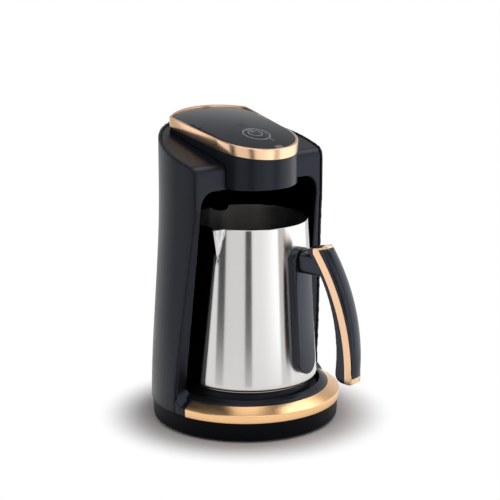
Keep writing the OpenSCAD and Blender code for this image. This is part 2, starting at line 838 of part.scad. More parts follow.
// Lead from the power board's socket up behind the lining and into the head
module control_lead() {
    color("#d8d8d8") lead([[0, control_lead_y, pb_low + pb_plug_up + 7],
        [0, control_lead_y, arch_z - 30], [0, control_lead_y, arch_z - 10],
        [0, control_lead_y, arch_z + 0.8], [0, control_lead_y - 0.4, lead_hole_z - 5],
        [0, rear_r - 0.6, lead_hole_z - 0.2], [0, rear_r - 5, lead_hole_z + 0.4],
        [0, rear_r - 11.4, lead_hole_z + 0.6], [0, board_end_y + 10, lead_hole_z + 3],
        [0, board_end_y + 1, lead_hole_z + 10],
        [0, board_end_y, head_plane(board_end_y) + board_rise / cos(head_slope) - 2 * fit]],
        control_lead_d, 40);
}

// ---- Head ----

rear_corner_x = rear_half_w - rear_corner_r;
rear_corner_y = sqrt(pow(rear_r - rear_corner_r, 2) - pow(rear_corner_x, 2));
rear_turn = atan2(rear_corner_y, rear_corner_x);  // how far a rear corner bends into the arc
turn_step = rear_turn / 6;

function half_width(t) = nose_r + (rear_half_w - nose_r) * smooth(t);
function head_side() = [for (i = [1:10]) let (t = i / 10)
    [half_width(t), -nose_y + (rear_corner_y + nose_y) * t]];
function head_corner() =
    arc([rear_corner_x, rear_corner_y], rear_corner_r, turn_step, rear_turn - turn_step, 4);
function mirrored(points) = [for (i = [len(points) - 1:-1:0]) [-points[i].x, points[i].y]];
function head_path() = let (side = concat(head_side(), head_corner()))
    concat(arc([0, -nose_y], nose_r, -180, 0, 40), side,
        arc([0, 0], rear_r, rear_turn, 180 - rear_turn, 16), mirrored(side));

// Closed path pushed out along its own normals
function grown(p, d) = [for (i = [0:len(p) - 1]) let (
        along = unit(p[(i + 1) % len(p)] - p[(i + len(p) - 1) % len(p)]))
    p[i] + d * [along.y, -along.x]];

// Plan of the head as a tall prism: round nose, sides that widen to the back, rear arc
module head_prism(grow, low) {
    translate([0, 0, low]) linear_extrude(far) polygon(grown(head_path(), grow));
}

// Everything below a plane parallel to the head's top, rise above the gold band's lower edge
module below_head_plane(rise) {
    lift = rise / cos(head_slope);
    side_prism() polygon([[-base_r, 0], [base_r, 0], [base_r, head_plane(base_r) + lift],
        [-base_r, head_plane(-base_r) + lift]]);
}

// Children stand square on the head's sloping plane, over (0, y)
module on_head(y) {
    translate([0, y, head_plane(y)]) rotate([head_slope, 0, 0]) children();
}

panel_low = band_h - panel_t;
band_inset = band_t - band_proud;
head_boss_h = 8;
head_boss_z = head_floor_z + head_wall + head_boss_h;
nose_back_y = -front_y + frame_back;

// Housing: it stands on the lining's roof, and its nose hangs out over the jug
module head_housing() {
    color(frame_black) difference() {
        union() {
            difference() {
                union() {
                    intersection() {
                        head_prism(0, arch_z);
                        below_head_plane(0);
                    }
                    intersection() {
                        head_prism(-band_inset - seat, arch_z);
                        below_head_plane(panel_low - seat);
                    }
                }
                head_prism(-head_wall, head_floor_z + head_wall);
            }
            at_head_screws() disc(boss_r, head_floor_z + head_wall / 2, head_boss_z);
        }
        translate([-far / 2, nose_back_y, 0]) cube([far, far, head_floor_z]);
        at_head_screws() disc(screw_r + seat, 0, head_boss_z - screw_spare);
        neck_hole();
        translate([0, rear_r - 2 * head_wall, lead_hole_z]) rotate([-90, 0, 0])
            cylinder(h = 3 * head_wall, r = lead_hole_r);
    }
}

module head_screws() {
    color(steel) at_head_screws() {
        disc(screw_head_r, arch_z - screw_head_t, arch_z);
        disc(screw_r, arch_z, head_boss_z - screw_spare - fit);
    }
}

module gold_head_band() {
    color(gold) difference() {
        intersection() {
            head_prism(band_proud, arch_z);
            below_head_plane(band_h);
        }
        head_prism(-band_inset, 0);
        below_head_plane(0);
    }
}

board_drop = 10;                                 // from the panel down to the control board
board_rise = panel_low - board_drop;
board_face = board_rise + board_t;
post_r = 2.4;
post_places = [[-22, 22], [22, 22], [-22, -18], [22, -18]];
post_screw_len = 6;
light_ring_in = button_d / 2 + button_gap;
light_ring_out = light_ring_in + light_ring_w;
crown_y = 7;                                     // middle of the crown

module at_posts() {
    on_head(0) for (p = post_places) translate([p.x, p.y, 0]) children();
}

// Block under the panel's crown, a shallow dome, lowered by drop
module under_crown(drop) {
    on_head(crown_y) translate([0, 0, band_h + crown_h - drop - crown_r])
        rotate_extrude() intersection() {
            circle(crown_r, $fn = 720);
            translate([0, crown_r - nose_r]) square([base_r, far]);
        }
}

// Crowned glossy panel inside the gold band, with the posts of the control board
module top_panel() {
    color("#14161a") {
        difference() {
            intersection() {
                head_prism(-band_inset - seat, arch_z);
                under_crown(0);
            }
            below_head_plane(panel_low);
            on_head(-button_y) disc(light_ring_out + seat, 0, far);
        }
        difference() {
            at_posts() disc(post_r, board_face, panel_low + panel_t / 2);
            at_posts() disc(screw_r + seat, board_face - through, board_face + post_screw_len);
        }
    }
}

module control_board() {
    half_w = 26;
    front = 23;
    back = 28;
    color(board_green) difference() {
        on_head(0) translate([-half_w, -front, board_rise])
            cube([2 * half_w, front + back, board_t]);
        at_posts() disc(screw_r + seat, board_rise - through, board_face + through);
    }
}

module panel_screws() {
    color(steel) at_posts() {
        disc(screw_head_r, board_rise - screw_head_t, board_rise);
        disc(screw_r, board_rise, board_face + post_screw_len - fit);
    }
}

plunger_r = 1.7;
plunger_h = 3.4;
switch_top = board_face + switch_h;
plunger_low = switch_top - plunger_h / 2;

// Switch under the button, with the well of its plunger
module button_switch() {
    body_w = 6;
    color("#d0d0d0") on_head(-button_y) difference() {
        translate([-body_w / 2, -body_w / 2, board_face]) cube([body_w, body_w, switch_h]);
        disc(plunger_r + seat, plunger_low - button_travel - button_gap, far);
    }
}

module switch_plunger() {
    color("#303030") on_head(-button_y) disc(plunger_r, plunger_low, plunger_low + plunger_h);
}

// Button: stem on the plunger, flange under the clear ring, cap through the ring
module power_button() {
    flange_top = panel_low - button_gap - seat;
    flange_t = 1.2;
    stem_r = 2.6;
    below_crown = 0.15;
    color("#17191d") intersection() {
        on_head(-button_y) {
            disc(stem_r, plunger_low + plunger_h, flange_top);
            disc(light_ring_in + light_ring_w / 2, flange_top - flange_t, flange_top);
            disc(button_d / 2, flange_top - flange_t, far / 10);
        }
        under_crown(below_crown);
    }
}

// Clear ring round the button, flush with the panel
module light_ring() {
    color("#dfe3e6") intersection() {
        on_head(-button_y) ring(light_ring_out, light_ring_in, panel_low, far / 10);
        under_crown(0);
    }
}

module buzzer() {
    buzzer_y = 12;
    buzzer_r = 6;
    buzzer_h = 5.5;
    color("#101010") on_head(buzzer_y) disc(buzzer_r, board_face, board_face + buzzer_h);
}

// ---- Foam sensor ----

pod_r = pod_d / 2;
pod_low_z = arch_z - pod_drop;
pod_shoulder = 2;                                // the pod's shoulder bears on the roof
neck_r = pod_r - pod_shoulder;
neck_up = 3.5;                                   // the neck stands above the head's floor
neck_top_z = head_floor_z + head_wall + neck_up;
lens_t = 3;

module pod_axis() {
    translate([-pod_x, -pod_y, 0]) children();
}

module neck_hole() {
    pod_axis() disc(neck_r + seat, arch_z - through, neck_top_z);
}

// Pod of the foam sensor: its neck goes up through the roof into the head
module foam_sensor_pod() {
    edge = 2.5;
    wall = 1.6;
    color(cavity_black) pod_axis() difference() {
        rotate_extrude() polygon(concat([[0, pod_low_z]],
            arc([pod_r - edge, pod_low_z + edge], edge, -90, 0, 5),
            [[pod_r, arch_z], [neck_r, arch_z], [neck_r, neck_top_z], [0, neck_top_z]]));
        disc(neck_r - wall, pod_low_z + lens_t, far);
        disc(lens_d / 2, 0, far);
    }
}

// Nut on the neck, inside the head
module foam_sensor_nut() {
    color(steel) pod_axis() ring(pod_r - fit, neck_r + seat, head_floor_z + head_wall,
        head_floor_z + head_wall + 2.5);
}

module foam_sensor_lens() {
    color("#a83a3a") pod_axis() disc(lens_d / 2 - seat, pod_low_z + fit, pod_low_z + fit + lens_t);
}

// ---- Jug ----

rim_bead = 0.9;

// Children stand on the jug's axis
module at_jug() {
    translate([0, -jug_y, 0]) children();
}

// Children's +X points from the jug's axis along the handle
module at_handle() {
    at_jug() rotate([0, 0, handle_turn - 90]) children();
}

// Pouring spout: grows out of the wall towards the rim; shrink draws its hollow
module spout(shrink) {
    tip_r = 3.4;
    root_r = 9;
    root_in = 11;
    toe_r = 2.4;
    toe_in = 0.4;
    low_z = jug_rim_z - spout_h;
    h = 1 + (shrink > 0 ? through : 0);
    rotate([0, 0, -90 - spout_turn]) hull() {
        translate([jug_high_r + spout_reach - tip_r, 0, jug_rim_z - 1])
            cylinder(h = h, r = tip_r - shrink, $fn = 32);
        translate([jug_high_r - root_in, 0, jug_rim_z - 1])
            cylinder(h = h, r = root_r - shrink, $fn = 32);
        translate([jug_r(low_z) - toe_r - toe_in - shrink / 2, 0, low_z + shrink])
            sphere(toe_r - shrink, $fn = 24);
    }
}

// Drawn steel jug: a cone with a round lower edge, a beaded rim and the spout
module jug_body() {
    in_z = body_z + jug_wall;
    in_high_r = jug_high_r - jug_wall;
    foot_z = body_z + jug_foot_round;
    foot_x = jug_r(foot_z) - jug_foot_round;
    bead_z = jug_rim_z - 2 * rim_bead;
    color(steel) at_jug() difference() {
        union() {
            rotate_extrude() polygon(concat([[0, body_z]],
                arc([foot_x, foot_z], jug_foot_round, -90, 0, 5),
                [[jug_r(bead_z), bead_z], [jug_high_r + rim_bead, bead_z + rim_bead / 2],
                    [jug_high_r + rim_bead, jug_rim_z - rim_bead / 2],
                    [jug_high_r + rim_bead / 2, jug_rim_z], [0, jug_rim_z]]));
            spout(0);
        }
        rotate_extrude() polygon(concat([[0, in_z]],
            arc([foot_x - jug_wall, foot_z + jug_wall], jug_foot_round, -90, 0, 5),
            [[in_high_r, jug_rim_z], [in_high_r, jug_rim_z + through], [0, jug_rim_z + through]]));
        spout(jug_wall);
    }
}

// Sandwich base pressed under the jug: its flat face stands on the hot plate
module jug_base() {
    edge = 0.6;
    color("#a5a7a9") at_jug() rotate_extrude() polygon([[0, plate_z], [jug_base_r - edge, plate_z],
        [jug_base_r, plate_z + edge], [jug_base_r, body_z], [0, body_z]]);
}

// ---- Handle ----

bracket_z = plate_z + bracket_low;
bracket_top_z = bracket_z + bracket_len;
arm_z = bracket_top_z - arm_drop - arm_h / 2;    // middle of the arm
stud_zs = [bracket_z + bracket_w / 2, arm_z];
stud_short = 2;                                  // the lower stud ends inside the bracket
stud_in_arm = 8;                                 // the upper one goes on into the arm
stud_lens = [bracket_t - stud_short, bracket_t + stud_in_arm];

// Cone that follows the jug's wall at a distance
module jug_cone(out) {
    translate([0, 0, body_z])
        cylinder(h = jug_rim_z - body_z, r1 = jug_low_r + out, r2 = jug_high_r + out);
}

module studs(r, extra) {
    for (i = [0, 1]) translate([jug_r(stud_zs[i]) - through, 0, stud_zs[i]]) rotate([0, 90, 0])
        cylinder(h = through + stud_lens[i] + extra, r = r);
}

// Studs welded to the jug: the bracket and the arm are pushed onto them
module jug_studs() {
    color(steel) at_handle() difference() {
        studs(screw_r, 0);
        jug_cone(0);
    }
}

// Plate with round ends that lies on the jug's wall
module handle_bracket() {
    color("#1b1c1f") at_handle() difference() {
        intersection() {
            translate([0, 0, (bracket_z + bracket_top_z) / 2]) rotate([90, 0, 90])
                linear_extrude(far / 2) stadium(bracket_w, bracket_len);
            jug_cone(bracket_t);
        }
        jug_cone(seat);
        studs(screw_r + seat, fit);
    }
}

inner_reach = jug_low_r + finger_room;
grip_reach = inner_reach + grip_depth;
back_reach = grip_reach + back_depth;
inner_bend = [inner_reach - inner_bend_r, plate_z + inner_bend_z];
grip_bend = [grip_reach - grip_bend_r, plate_z + grip_bend_z];
back_bend = [back_reach - back_bend_r, plate_z + back_bend_z];
inlay_in_r = grip_bend_r - inlay_t / 2;
inlay_out_r = grip_bend_r + inlay_t / 2;
grip_low_z = plate_z + grip_low;
grip_top_z = plate_z + grip_high;
corner_drop = 4.2;                               // from the top, the inlay's inner edge is upright
corner_x = circle_x(grip_bend, inlay_in_r, grip_top_z - corner_drop);
toe_in_r = 0.55 * (grip_depth + back_depth);     // rounds the lower end, seen from the side
toe_out_r = 0.42 * (grip_depth + back_depth);
toe_side_r = 5;                                  // rounds it, seen along the handle
toe_in = [circle_x(inner_bend, inner_bend_r, grip_low_z + toe_in_r) + toe_in_r,
    grip_low_z + toe_in_r];
toe_out = [circle_x(back_bend, back_bend_r, grip_low_z + toe_out_r) - toe_out_r,
    grip_low_z + toe_out_r];
tongue_lift = 4;                                 // the outer shell ends above the inlay's end
inlay_proud = 0.3;                               // the inlay stands out beside the shells
inlay_overlap = 0.5;                             // of the inlay's lips and its band

// Side view of the whole grip, drawn in from its two ends by inset
module grip_side(inset) {
    side = 60;
    in_x = toe_in.x - side;
    out_x = toe_out.x + side;
    function top(x) = grip_top_z - inset + (x - corner_x) * tan(grip_top_slope);
    polygon(concat([[in_x, toe_in.y]], arc(toe_in, toe_in_r - inset, 180, 270, 6),
        arc(toe_out, toe_out_r - inset, 270, 360, 6),
        [[out_x, toe_out.y], [out_x, top(out_x)], [in_x, top(in_x)]]));
}

// The grip seen along the handle: it tapers to a round lower end, lifted by rise
module grip_face(side_in, rise) {
    high_z = grip_top_z + grip_w;
    corner = [grip_low_w / 2 - side_in - toe_side_r, grip_low_z + rise + toe_side_r];
    polygon(concat([[grip_w / 2 - side_in, high_z]], arc(corner, toe_side_r, 0, -90, 5),
        arc([-corner.x, corner.y], toe_side_r, -90, -180, 5), [[side_in - grip_w / 2, high_z]]));
}

// Prism with a side view, and one with a view along the handle
module grip_slab() {
    rotate([90, 0, 0]) linear_extrude(2 * grip_w, center = true) children();
}

module along_handle() {
    rotate([90, 0, 90]) linear_extrude(far / 2) children();
}

// Side view of everything within a distance of the inlay's inner edge
module inside_inlay(gap) {
    translate(grip_bend) circle(inlay_in_r - gap, $fn = 360);
    translate([corner_x - gap - far / 2, 0]) square(far / 2);
}

// Side view of everything within a radius about the centre of the inlay's bend
module inside_bend(r) {
    translate(grip_bend) circle(r, $fn = 360);
}

// Round back of the grip, revolved about the centre of its bend
module grip_back(half_w) {
    steps = 12;
    squareness = 0.7;
    rounding = 4.5;
    depth = 10;
    first_angle = -12;
    angle = 56;
    translate([back_bend.x, 0, back_bend.y]) rotate([90, 0, 0]) rotate([0, 0, first_angle])
        rotate_extrude(angle = angle, $fn = 360) translate([back_bend_r - rounding, 0])
            polygon(concat([[rounding - depth, half_w], [rounding - depth, -half_w]],
                [for (i = [0:steps]) let (a = -90 + 180 * i / steps)
                    [rounding * pow(max(cos(a), 0), squareness), half_w * sin(a)]]));
}

grip_pin_turns = [8, 31];
grip_pin_in = 4;                                 // into the inner shell
grip_pin_out = 1.6;                              // into the outer shell

module grip_pin_rods(r, extra) {
    for (a = grip_pin_turns) translate([grip_bend.x, 0, grip_bend.y]) rotate([0, 90 - a, 0])
        translate([0, 0, inlay_in_r - grip_pin_in - extra])
            cylinder(h = grip_pin_in + inlay_t + grip_pin_out + 2 * extra, r = r);
}

// Inner half of the grip with the arm that reaches to the bracket
module grip_inner_shell() {
    arm_r = 5;
    color("#141518") at_handle() difference() {
        union() {
            intersection() {
                grip_slab() difference() {
                    intersection() {
                        inside_inlay(0);
                        grip_side(0);
                    }
                    translate(inner_bend) circle(inner_bend_r, $fn = 300);
                }
                along_handle() grip_face(0, 0);
            }
            intersection() {
                translate([0, 0, arm_z]) along_handle() round_rect(arm_w, arm_h, arm_r);
                grip_slab() inside_inlay(fit);
            }
        }
        jug_cone(bracket_t + seat);
        studs(screw_r + seat, fit);
        grip_pin_rods(screw_r + seat, fit);
    }
}

// Gold layer between the shells, with lips that close both ends of the outer shell
module grip_gold_inlay() {
    color(gold) at_handle() difference() {
        union() {
            intersection() {
                grip_slab() difference() {
                    intersection() {
                        inside_bend(inlay_out_r);
                        grip_side(0);
                    }
                    inside_inlay(-seat);
                }
                along_handle() grip_face(-inlay_proud, 0);
            }
            difference() {
                intersection() {
                    grip_back(grip_w / 2);
                    grip_slab() difference() {
                        grip_side(0);
                        inside_bend(inlay_out_r - inlay_overlap);
                    }
                    along_handle() grip_face(0, 0);
                }
                intersection() {
                    grip_slab() grip_side(inlay_lip);
                    along_handle() grip_face(-fit, tongue_lift);
                }
            }
        }
        grip_pin_rods(screw_r + seat, fit);
    }
}

module grip_outer_shell() {
    color("#17181b") at_handle() difference() {
        intersection() {
            grip_back(grip_w / 2 - inlay_proud);
            grip_slab() difference() {
                grip_side(inlay_lip + seat);
                inside_bend(inlay_out_r + seat);
            }
            along_handle() grip_face(inlay_proud, tongue_lift + seat);
        }
        grip_pin_rods(screw_r + seat, fit);
    }
}

// Two pins that hold the shells of the grip together through the inlay
module grip_pins() {
    color(steel) at_handle() grip_pin_rods(screw_r, 0);
}

foot_ring();
base_pan();
gold_base_trim();
deck();
deck_screws();
tower_screws();
plate_seal();
hot_plate();
heating_element();
heat_shield();
plate_screws();
thermal_cutout();
plate_probe();
cord_gland();
tower_shell();
front_frame();
cavity_lining();
bay_roof();
power_board();
power_board_parts();
board_screws();
heater_leads();
control_lead();
head_housing();
head_screws();
gold_head_band();
top_panel();
control_board();
panel_screws();
button_switch();
switch_plunger();
power_button();
light_ring();
buzzer();
foam_sensor_pod();
foam_sensor_nut();
foam_sensor_lens();
jug_body();
jug_base();
jug_studs();
handle_bracket();
grip_inner_shell();
grip_gold_inlay();
grip_outer_shell();
grip_pins();
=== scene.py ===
# %% [markdown]
# # An electric turkish coffee maker, dressed in Blender
#
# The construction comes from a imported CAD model: every solid is at its real size and in its
# real place. This script gives the solids the edges, finishes and small forms that the real
# pieces have, and sets up a small photo studio round them.

# %% The frame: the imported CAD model
import json
from math import asin, atan2, cos, degrees, pi, radians, sin, sqrt, tan

import bmesh
import bpy
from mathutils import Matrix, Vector
from mathutils.bvhtree import BVHTree


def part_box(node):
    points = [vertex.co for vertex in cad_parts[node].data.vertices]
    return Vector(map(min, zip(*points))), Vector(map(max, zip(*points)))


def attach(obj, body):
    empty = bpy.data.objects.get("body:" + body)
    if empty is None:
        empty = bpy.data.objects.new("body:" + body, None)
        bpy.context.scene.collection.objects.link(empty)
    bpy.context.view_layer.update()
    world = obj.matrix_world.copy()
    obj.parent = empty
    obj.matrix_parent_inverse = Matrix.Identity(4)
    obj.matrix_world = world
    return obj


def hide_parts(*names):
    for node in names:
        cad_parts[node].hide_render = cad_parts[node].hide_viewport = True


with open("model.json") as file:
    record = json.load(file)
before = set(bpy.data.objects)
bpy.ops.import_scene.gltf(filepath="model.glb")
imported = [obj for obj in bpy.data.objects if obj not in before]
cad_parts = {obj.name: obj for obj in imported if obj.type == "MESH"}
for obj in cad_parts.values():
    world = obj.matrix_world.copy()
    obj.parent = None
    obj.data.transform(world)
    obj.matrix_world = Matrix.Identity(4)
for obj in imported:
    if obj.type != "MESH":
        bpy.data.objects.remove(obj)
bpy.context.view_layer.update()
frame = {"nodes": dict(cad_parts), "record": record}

# %% [markdown]
# ## Units, and asking the drawing
#
# Blender works in metres here, and the maker's drawing is in millimetres, so one factor turns
# one into the other. The front of the drawing is -Y and its floor is Z = 0. Where a piece starts
# or ends is asked of the CAD solid rather than typed again. Which body a piece moves with stands
# in the model's record, so it is looked up there too.

# %% Units and look-ups
MM = 0.001


def lowest(node):
    """Lowest corner of a CAD solid, in millimetres."""
    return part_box(node)[0] / MM


def highest(node):
    """Highest corner of a CAD solid, in millimetres."""
    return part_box(node)[1] / MM


body_of_node = {node: body for body, nodes in frame["record"]["behaviour"]["bodies"].items()
                for node in nodes}
print(len(body_of_node), "CAD nodes on", sorted(set(body_of_node.values())))
print("hot plate's face at z =", round(highest("hot_plate").z, 2), "mm")

# %% [markdown]
# ## Colours and shader nodes
#
# Colours are written as they look on a screen, in hex, and Blender's shaders want them linear,
# so one function turns one into the other. A finish is a tree of small nodes. They could be
# placed by hand in the shader editor, but written down they can be read and changed. One
# function feeds a node's inputs, and one adds a node with its settings and feeds it.

# %% Colour and node helpers
def colour(hex_code):
    """Linear RGBA of an sRGB hex colour."""
    channels = [int(hex_code[i:i + 2], 16) / 255 for i in (1, 3, 5)]
    return tuple(c / 12.92 if c <= 0.04045 else ((c + 0.055) / 1.055) ** 2.4
                 for c in channels) + (1.0,)


def feed(tree, node, inputs):
    """Sets a node's inputs. Each is a value, or the output socket that it is linked from."""
    for name, value in inputs.items():
        if isinstance(value, bpy.types.NodeSocket):
            tree.links.new(value, node.inputs[name])
        else:
            node.inputs[name].default_value = value


def add(tree, kind, inputs=None, **settings):
    """Adds a node with its settings, and feeds its inputs."""
    node = tree.nodes.new(kind)
    for name, value in settings.items():
        setattr(node, name, value)
    feed(tree, node, inputs or {})
    return node


print("#808080 is", round(colour("#808080")[0], 3), "in linear light")

# %% [markdown]
# ## What every finish starts from
#
# A real surface is never equally glossy all over, and that unevenness is what tells the eye that
# it is real. Each finish is a Principled shader whose roughness wanders with a noise, and whose
# relief, if it has one, follows a noise too. The noise is laid out in the object's own
# coordinates, so it needs no unwrapping and moves with the piece. Noise seldom leaves the middle
# of its range, so that middle is spread over the whole change in roughness.

# %% A new finish
NOISE_LOW, NOISE_HIGH = 0.3, 0.7


def new_finish(name, **values):
    """A material with one Principled shader; values are its constant sockets."""
    finish = bpy.data.materials.new(name)
    finish.use_nodes = True
    tree = finish.node_tree
    shader = tree.nodes["Principled BSDF"]
    feed(tree, shader, {socket.replace("_", " "): value for socket, value in values.items()})
    place = add(tree, "ShaderNodeTexCoord").outputs["Object"]
    return finish, tree, shader, place


def per_mm(size):
    """Noise scale, in waves per metre, whose features are size millimetres across."""
    return 1 / (size * MM)


def uneven(tree, shader, patches, smoothest, roughest, relief, depth):
    """Roughness that wanders with one noise, and a relief, in millimetres, that follows one."""
    gloss = add(tree, "ShaderNodeMapRange", {
        "Value": patches.outputs["Fac"], "From Min": NOISE_LOW, "From Max": NOISE_HIGH,
        "To Min": smoothest, "To Max": roughest})
    feed(tree, shader, {"Roughness": gloss.outputs["Result"]})
    if depth:
        bump = add(tree, "ShaderNodeBump", {"Height": relief.outputs["Fac"], "Strength": 1.0,
                                            "Distance": depth * MM})
        feed(tree, shader, {"Normal": bump.outputs["Normal"]})


print("noise of 0.35 mm has a scale of", round(per_mm(0.35)))

# %% [markdown]
# ## Moulded plastics
#
# The casing is ABS, injection moulded in a spark-eroded tool: the tool's fine pits leave a satin
# skin that scatters the highlight. The pits are about 0.05 mm, too fine to show here, so the
# grain is drawn at 0.35 mm, and coarser on the smoother plastics. A slow change of gloss and
# tone, in patches some 40 mm across, keeps a large moulding from looking like a flat fill. The
# highlight has a trace of blue, as it has on plastic that is coloured with carbon black.

# %% Moulded plastics
PATCH = 38
LIGHTEST = 1.12
SMOOTHER, ROUGHER = 0.03, 0.04


def moulded(name, shade, roughness, grain=0.35, depth=0.006, ior=1.54, gloss_level=0.5):
    """Moulded plastic; grain is the width of its pits, and depth how deep they are, in mm."""
    finish, tree, shader, place = new_finish(name, IOR=ior, Specular_IOR_Level=gloss_level,
                                             Specular_Tint=colour("#dfe8ff"))
    patches = add(tree, "ShaderNodeTexNoise", {"Vector": place, "Scale": per_mm(PATCH),
                                               "Detail": 2.0})
    dark = colour(shade)
    light = tuple(LIGHTEST * channel for channel in dark[:3]) + (1.0,)
    tone = add(tree, "ShaderNodeMix", {"Factor": patches.outputs["Fac"], "A": dark, "B": light},
               data_type="RGBA")
    feed(tree, shader, {"Base Color": tone.outputs["Result"]})
    pits = add(tree, "ShaderNodeTexNoise", {"Vector": place, "Scale": per_mm(grain),
                                            "Detail": 3.0, "Roughness": 0.6})
    uneven(tree, shader, patches, roughness - SMOOTHER, roughness + ROUGHER, pits, depth)
    return finish


# %% [markdown]
# ## The plastics of the outside
#
# All of these are black, and they differ in gloss. The casing and the front frame are satin ABS.
# The pan under them is darker and duller than the casing: that is painted shade, for the shade
# that falls at the foot. The jug's bay is near-pure black with no gloss at all: painted shade, so
# the recess reads dark. The handle is PBT, which bears heat better and leaves the tool smoother.
# The top panel is polycarbonate from a polished tool, the glossiest of all. The foot ring and the
# cord's gland are EPDM rubber, and the seal of the hot plate is silicone.

# %% Plastics of the outside
casing_abs = moulded("abs_satin_black", "#0c0d12", 0.34, gloss_level=0.22)
frame_abs = moulded("abs_satin_charcoal", "#0f1116", 0.28, gloss_level=0.26)
# painted shade: near-pure black with no gloss at all, so the bay reads as a recess in shade
lining_painted_shade = moulded("abs_black_painted_shade_bay", "#010101", 0.7, gloss_level=0.0)
# painted shade: a darker, duller plastic than the casing, for the shade that falls at the foot
pan_abs_painted_shade = moulded("abs_black_painted_shade_pan", "#050506", 0.42, gloss_level=0.08)
grip_pbt = moulded("pbt_satin_black", "#06070a", 0.2, grain=0.5, depth=0.003, gloss_level=0.5)
panel_pc = moulded("polycarbonate_gloss_black", "#0a0c11", 0.08, grain=6.0, depth=0.002,
                   ior=1.58, gloss_level=0.2)
rubber_epdm = moulded("epdm_rubber_black", "#0d0d0d", 0.62, grain=0.8, depth=0.02, ior=1.52)
silicone = moulded("silicone_black", "#101010", 0.5, grain=1.2, depth=0.01, ior=1.43)
print("finishes of the outside:", [finish.name for finish in bpy.data.materials])

# %% [markdown]
# ## The plastics of the inside
#
# Circuit boards have a green solder mask over woven glass, switches are grey PBT, and the
# thermal cut-out sits in a steatite ceramic. The lens of the foam sensor is dark red acrylic: it
# lets infrared through and little else.

# %% Plastics of the inside
solder_mask = moulded("circuit_board_green", "#12532c", 0.3, grain=0.8, depth=0.01)
phenolic = moulded("phenolic_parts_dark", "#17181a", 0.45)
switch_pbt = moulded("pbt_switch_grey", "#9a9a98", 0.45)
steatite = moulded("steatite_ceramic", "#d8d2c2", 0.55, grain=0.6, depth=0.015)
lead_red = moulded("silicone_lead_red", "#8f1d16", 0.45)
lead_grey = moulded("pvc_lead_grey", "#8b8d8e", 0.4)
lens_red = moulded("acrylic_lens_red", "#3a0709", 0.1, grain=5.0, depth=0.001, ior=1.49)
print("finishes so far:", len(bpy.data.materials))

# %% [markdown]
# ## Metals
#
# The jug is 18/10 stainless steel, brushed round and round on a lathe. Fine rings run round its
# wall, so a reflection stays sharp from left to right and is pulled long up and down. Real rings
# are some 0.05 mm apart, too fine to show, and are drawn at 0.4 mm as noise squeezed along Z.
# The shader's own anisotropy, along a tangent that runs round Z, does the pulling.

# %% Metals
PLAIN_PATCH, RING_LENGTH = 25, 60


def metal(name, shade, roughness, rings=None, depth=0.0, anisotropic=0.0, spread=0.05):
    """Metal; rings is the spacing, in mm, of brush marks that run round the Z axis."""
    finish, tree, shader, place = new_finish(name, Metallic=1.0, Anisotropic=anisotropic,
                                             Anisotropic_Rotation=0.25,
                                             Base_Color=colour(shade))
    if rings:
        squeezed = add(tree, "ShaderNodeMapping", {
            "Vector": place, "Scale": (per_mm(RING_LENGTH), per_mm(RING_LENGTH), per_mm(rings))})
        marks = add(tree, "ShaderNodeTexNoise", {"Vector": squeezed.outputs["Vector"],
                                                 "Scale": 1.0, "Detail": 3.0})
        round_z = add(tree, "ShaderNodeTangent", direction_type="RADIAL", axis="Z")
        feed(tree, shader, {"Tangent": round_z.outputs["Tangent"]})
    else:
        marks = add(tree, "ShaderNodeTexNoise", {"Vector": place, "Scale": per_mm(PLAIN_PATCH)})
    uneven(tree, shader, marks, roughness - spread, roughness + spread, marks, depth)
    return finish


# %% [markdown]
# ## The metals of this machine
#
# The trims are aluminium, anodised and dyed: rose gold on the head and the handle, and a warmer
# gold round the base. Anodising etches the metal first, which leaves it satin rather than mirror
# bright. The hot plate is cast aluminium under a dark non-stick coat. Screws and pins are zinc
# plated, and the sheath of the heating element is tinted by its own heat.

# %% The metals of this machine
rose_gold = metal("anodised_aluminium_rose_gold", "#f2c9a4", 0.2, spread=0.03)
warm_gold = metal("anodised_aluminium_warm_gold", "#f3c490", 0.24, spread=0.03)
brushed_steel = metal("stainless_brushed", "#d6d4d2", 0.19, rings=0.4, depth=0.0006,
                      anisotropic=0.9, spread=0.02)
spun_steel = metal("stainless_spun", "#bdbcba", 0.3, rings=0.6, depth=0.003)
zinc_steel = metal("zinc_plated_steel", "#b4b6b8", 0.3)
sheath_steel = metal("heat_tinted_steel", "#8b847c", 0.35)
probe_steel = metal("stainless_polished", "#cfd0d1", 0.12)
plate_metal = metal("coated_cast_aluminium", "#4a4b4d", 0.42, rings=0.8, depth=0.006)
print("finishes:", len(bpy.data.materials))

# %% [markdown]
# ## From a mesh to a piece
#
# Every visible piece is a mesh with a finish, tied to the CAD body that it moves with. Smooth
# shading hides the flats in a curve, but it would smear true corners too, so edges that turn by
# more than 35 degrees are kept sharp.

# %% From a mesh to a piece
CORNER = radians(35)


def piece(name, mesh, body, finish):
    """An object of a mesh, with its shading and finish, that rides on a CAD body."""
    mesh.shade_smooth()
    mesh.set_sharp_from_angle(angle=CORNER)
    mesh.materials.clear()
    mesh.materials.append(finish)
    obj = bpy.data.objects.new(name, mesh)
    bpy.context.scene.collection.objects.link(obj)
    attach(obj, body)
    print(f"{name}: {len(mesh.polygons)} faces")
    return obj


# %% [markdown]
# ## Softening a CAD solid
#
# CAD leaves corners that are perfectly sharp. Real mouldings, castings and pressings have a
# small radius on every corner, and that radius catches the light and tells the eye how big the
# thing is. Any way to add it needs a tidy copy of the solid first. The faces of a CAD mesh don't
# share their points, and its flat sides are cut into triangles, so points in one place are
# joined and flat triangles are merged.

# %% A tidy copy of a CAD solid
SAME_POINT = 0.001 * MM
FLAT = radians(0.05)


